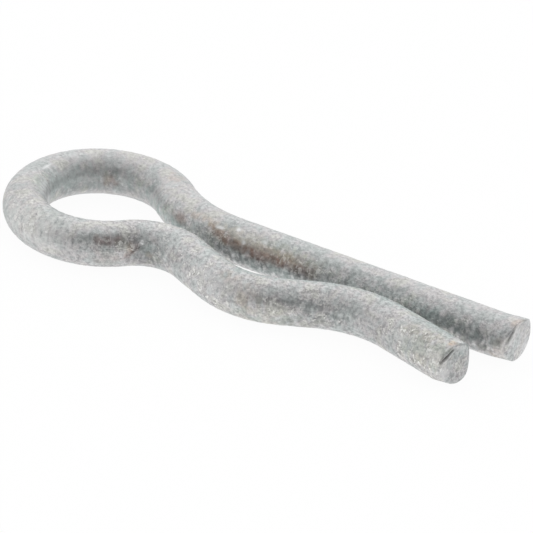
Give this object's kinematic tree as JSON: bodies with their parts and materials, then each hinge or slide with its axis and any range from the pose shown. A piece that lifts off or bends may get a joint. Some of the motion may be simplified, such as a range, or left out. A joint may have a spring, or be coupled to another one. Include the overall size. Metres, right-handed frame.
{
  "type": "hairpin cotter pin",
  "caption": "Hairpin cotter pin: round spring wire bent flat into a pull eye, a straight leg for a cross hole and a wavy leg that snaps round the shaft.",
  "frame": {"origin": "where the shaft's axis crosses the straight leg's axis, in the mid-plane of the wire", "axes": "+X along the straight leg towards its free end, +Z along the shaft, and the wavy leg on the -Y side; the pin lies on its side"},
  "size_m": [0.0398, 0.014, 0.0032],
  "materials": {
    "zinc_plated_wire": "dull zinc plating on drawn spring steel wire, with a fine grain and faint tan stains"
  },
  "bodies": {
    "root": {"hairpin_wire": "zinc_plated_wire"}
  },
  "joints": []
}
